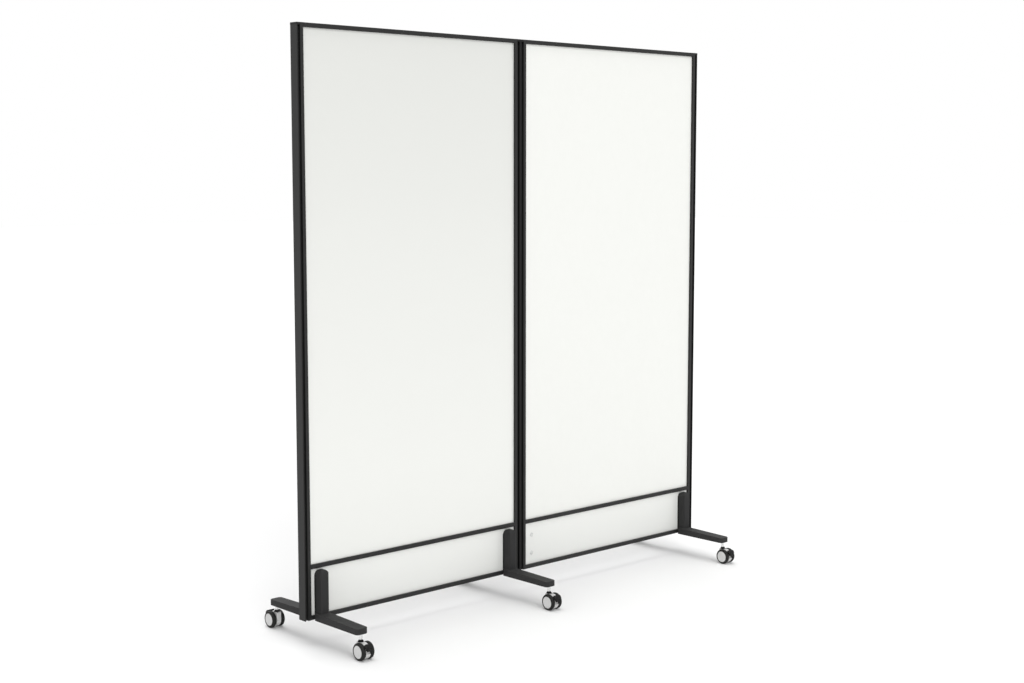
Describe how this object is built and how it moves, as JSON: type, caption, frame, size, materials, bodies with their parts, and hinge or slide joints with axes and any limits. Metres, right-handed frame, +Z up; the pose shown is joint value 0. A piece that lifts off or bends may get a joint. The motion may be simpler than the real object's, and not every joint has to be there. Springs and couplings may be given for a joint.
{
  "type": "rolling acoustic partition",
  "caption": "Free-standing rolling room divider: black extruded frame with a gloss whiteboard bay and a felt bay over white kick boards, on L-shaped feet with braked twin-wheel casters.",
  "frame": {"origin": "on the floor under the middle of the screen, at the bottom centre of its bounding box", "axes": "+Z up, +X to the right along the screen as seen from the white side, -Y out of the white side, +Y out of the charcoal side"},
  "size_m": [1.6, 0.4676, 1.6715],
  "materials": {
    "frame_black": "satin black powder coat on extruded aluminium",
    "foot_black": "satin black powder coat on cast aluminium",
    "black_plastic": "moulded, fine matte grain",
    "gloss_white": "gloss enamel writing surface",
    "white_felt": "pressed felt",
    "charcoal_felt": "pressed felt",
    "core_fleece": "acoustic fleece, hidden",
    "white_board": "white laminate on fibreboard",
    "white_plastic": "moulded, smooth",
    "grey_plastic": "moulded, fine matte grain",
    "tyre_black": "soft tread",
    "bright_steel": "plated",
    "zinc_steel": "zinc plated"
  },
  "bodies": {
    "frame": {"stiles": "frame_black", "top_rails": "frame_black", "mid_rails": "frame_black", "bottom_rails": "frame_black", "frame_screws": "zinc_steel", "centre_joiner": "frame_black", "end_trims": "frame_black", "top_caps": "black_plastic", "whiteboard_face": "gloss_white", "white_felt_face": "white_felt", "acoustic_cores": "core_fleece", "charcoal_felts": "charcoal_felt", "kick_boards": "white_board", "hole_plugs": "white_plastic", "feet": "foot_black", "foot_studs": "zinc_steel", "caster_stems": "bright_steel", "caster_collars": "black_plastic"},
    "left_front_caster": {"left_front_caster_body": "grey_plastic", "left_front_caster_axle": "zinc_steel"},
    "left_front_caster_left_wheel": {"left_front_caster_left_tyre": "tyre_black", "left_front_caster_left_hub": "grey_plastic"},
    "left_front_caster_right_wheel": {"left_front_caster_right_tyre": "tyre_black", "left_front_caster_right_hub": "grey_plastic"},
    "left_front_caster_brake_pedal": {"left_front_caster_pedal": "black_plastic"},
    "left_rear_caster": {"left_rear_caster_body": "grey_plastic", "left_rear_caster_axle": "zinc_steel"},
    "left_rear_caster_left_wheel": {"left_rear_caster_left_tyre": "tyre_black", "left_rear_caster_left_hub": "grey_plastic"},
    "left_rear_caster_right_wheel": {"left_rear_caster_right_tyre": "tyre_black", "left_rear_caster_right_hub": "grey_plastic"},
    "left_rear_caster_brake_pedal": {"left_rear_caster_pedal": "black_plastic"},
    "centre_front_caster": {"centre_front_caster_body": "grey_plastic", "centre_front_caster_axle": "zinc_steel"},
    "centre_front_caster_left_wheel": {"centre_front_caster_left_tyre": "tyre_black", "centre_front_caster_left_hub": "grey_plastic"},
    "centre_front_caster_right_wheel": {"centre_front_caster_right_tyre": "tyre_black", "centre_front_caster_right_hub": "grey_plastic"},
    "centre_front_caster_brake_pedal": {"centre_front_caster_pedal": "black_plastic"},
    "centre_rear_caster": {"centre_rear_caster_body": "grey_plastic", "centre_rear_caster_axle": "zinc_steel"},
    "centre_rear_caster_left_wheel": {"centre_rear_caster_left_tyre": "tyre_black", "centre_rear_caster_left_hub": "grey_plastic"},
    "centre_rear_caster_right_wheel": {"centre_rear_caster_right_tyre": "tyre_black", "centre_rear_caster_right_hub": "grey_plastic"},
    "centre_rear_caster_brake_pedal": {"centre_rear_caster_pedal": "black_plastic"},
    "right_front_caster": {"right_front_caster_body": "grey_plastic", "right_front_caster_axle": "zinc_steel"},
    "right_front_caster_left_wheel": {"right_front_caster_left_tyre": "tyre_black", "right_front_caster_left_hub": "grey_plastic"},
    "right_front_caster_right_wheel": {"right_front_caster_right_tyre": "tyre_black", "right_front_caster_right_hub": "grey_plastic"},
    "right_front_caster_brake_pedal": {"right_front_caster_pedal": "black_plastic"},
    "right_rear_caster": {"right_rear_caster_body": "grey_plastic", "right_rear_caster_axle": "zinc_steel"},
    "right_rear_caster_left_wheel": {"right_rear_caster_left_tyre": "tyre_black", "right_rear_caster_left_hub": "grey_plastic"},
    "right_rear_caster_right_wheel": {"right_rear_caster_right_tyre": "tyre_black", "right_rear_caster_right_hub": "grey_plastic"},
    "right_rear_caster_brake_pedal": {"right_rear_caster_pedal": "black_plastic"}
  },
  "joints": [
    {"name": "left_front_caster_swivel", "type": "hinge", "parent": "frame", "child": "left_front_caster", "pos_m": [-0.7497, -0.194, 0.0575], "axis": [0, 0, 1], "continuous": true},
    {"name": "left_front_caster_left_wheel_spin", "type": "hinge", "parent": "left_front_caster", "child": "left_front_caster_left_wheel", "pos_m": [-0.7497, -0.206, 0.024], "axis": [1, 0, 0], "continuous": true},
    {"name": "left_front_caster_right_wheel_spin", "type": "hinge", "parent": "left_front_caster", "child": "left_front_caster_right_wheel", "pos_m": [-0.7497, -0.206, 0.024], "axis": [1, 0, 0], "continuous": true},
    {"name": "left_front_caster_brake", "type": "hinge", "parent": "left_front_caster", "child": "left_front_caster_brake_pedal", "pos_m": [-0.7497, -0.207, 0.0356], "axis": [1, 0, 0], "range_deg": [0, 12]},
    {"name": "left_rear_caster_swivel", "type": "hinge", "parent": "frame", "child": "left_rear_caster", "pos_m": [-0.7497, 0.194, 0.0575], "axis": [0, 0, 1], "continuous": true},
    {"name": "left_rear_caster_left_wheel_spin", "type": "hinge", "parent": "left_rear_caster", "child": "left_rear_caster_left_wheel", "pos_m": [-0.7497, 0.206, 0.024], "axis": [1, 0, 0], "continuous": true},
    {"name": "left_rear_caster_right_wheel_spin", "type": "hinge", "parent": "left_rear_caster", "child": "left_rear_caster_right_wheel", "pos_m": [-0.7497, 0.206, 0.024], "axis": [1, 0, 0], "continuous": true},
    {"name": "left_rear_caster_brake", "type": "hinge", "parent": "left_rear_caster", "child": "left_rear_caster_brake_pedal", "pos_m": [-0.7497, 0.207, 0.0356], "axis": [-1, 0, 0], "range_deg": [0, 12]},
    {"name": "centre_front_caster_swivel", "type": "hinge", "parent": "frame", "child": "centre_front_caster", "pos_m": [-0.0523, -0.194, 0.0575], "axis": [0, 0, 1], "continuous": true},
    {"name": "centre_front_caster_left_wheel_spin", "type": "hinge", "parent": "centre_front_caster", "child": "centre_front_caster_left_wheel", "pos_m": [-0.0523, -0.206, 0.024], "axis": [1, 0, 0], "continuous": true},
    {"name": "centre_front_caster_right_wheel_spin", "type": "hinge", "parent": "centre_front_caster", "child": "centre_front_caster_right_wheel", "pos_m": [-0.0523, -0.206, 0.024], "axis": [1, 0, 0], "continuous": true},
    {"name": "centre_front_caster_brake", "type": "hinge", "parent": "centre_front_caster", "child": "centre_front_caster_brake_pedal", "pos_m": [-0.0523, -0.207, 0.0356], "axis": [1, 0, 0], "range_deg": [0, 12]},
    {"name": "centre_rear_caster_swivel", "type": "hinge", "parent": "frame", "child": "centre_rear_caster", "pos_m": [-0.0523, 0.194, 0.0575], "axis": [0, 0, 1], "continuous": true},
    {"name": "centre_rear_caster_left_wheel_spin", "type": "hinge", "parent": "centre_rear_caster", "child": "centre_rear_caster_left_wheel", "pos_m": [-0.0523, 0.206, 0.024], "axis": [1, 0, 0], "continuous": true},
    {"name": "centre_rear_caster_right_wheel_spin", "type": "hinge", "parent": "centre_rear_caster", "child": "centre_rear_caster_right_wheel", "pos_m": [-0.0523, 0.206, 0.024], "axis": [1, 0, 0], "continuous": true},
    {"name": "centre_rear_caster_brake", "type": "hinge", "parent": "centre_rear_caster", "child": "centre_rear_caster_brake_pedal", "pos_m": [-0.0523, 0.207, 0.0356], "axis": [-1, 0, 0], "range_deg": [0, 12]},
    {"name": "right_front_caster_swivel", "type": "hinge", "parent": "frame", "child": "right_front_caster", "pos_m": [0.7497, -0.194, 0.0575], "axis": [0, 0, 1], "continuous": true},
    {"name": "right_front_caster_left_wheel_spin", "type": "hinge", "parent": "right_front_caster", "child": "right_front_caster_left_wheel", "pos_m": [0.7497, -0.206, 0.024], "axis": [1, 0, 0], "continuous": true},
    {"name": "right_front_caster_right_wheel_spin", "type": "hinge", "parent": "right_front_caster", "child": "right_front_caster_right_wheel", "pos_m": [0.7497, -0.206, 0.024], "axis": [1, 0, 0], "continuous": true},
    {"name": "right_front_caster_brake", "type": "hinge", "parent": "right_front_caster", "child": "right_front_caster_brake_pedal", "pos_m": [0.7497, -0.207, 0.0356], "axis": [1, 0, 0], "range_deg": [0, 12]},
    {"name": "right_rear_caster_swivel", "type": "hinge", "parent": "frame", "child": "right_rear_caster", "pos_m": [0.7497, 0.194, 0.0575], "axis": [0, 0, 1], "continuous": true},
    {"name": "right_rear_caster_left_wheel_spin", "type": "hinge", "parent": "right_rear_caster", "child": "right_rear_caster_left_wheel", "pos_m": [0.7497, 0.206, 0.024], "axis": [1, 0, 0], "continuous": true},
    {"name": "right_rear_caster_right_wheel_spin", "type": "hinge", "parent": "right_rear_caster", "child": "right_rear_caster_right_wheel", "pos_m": [0.7497, 0.206, 0.024], "axis": [1, 0, 0], "continuous": true},
    {"name": "right_rear_caster_brake", "type": "hinge", "parent": "right_rear_caster", "child": "right_rear_caster_brake_pedal", "pos_m": [0.7497, 0.207, 0.0356], "axis": [-1, 0, 0], "range_deg": [0, 12]}
  ]
}
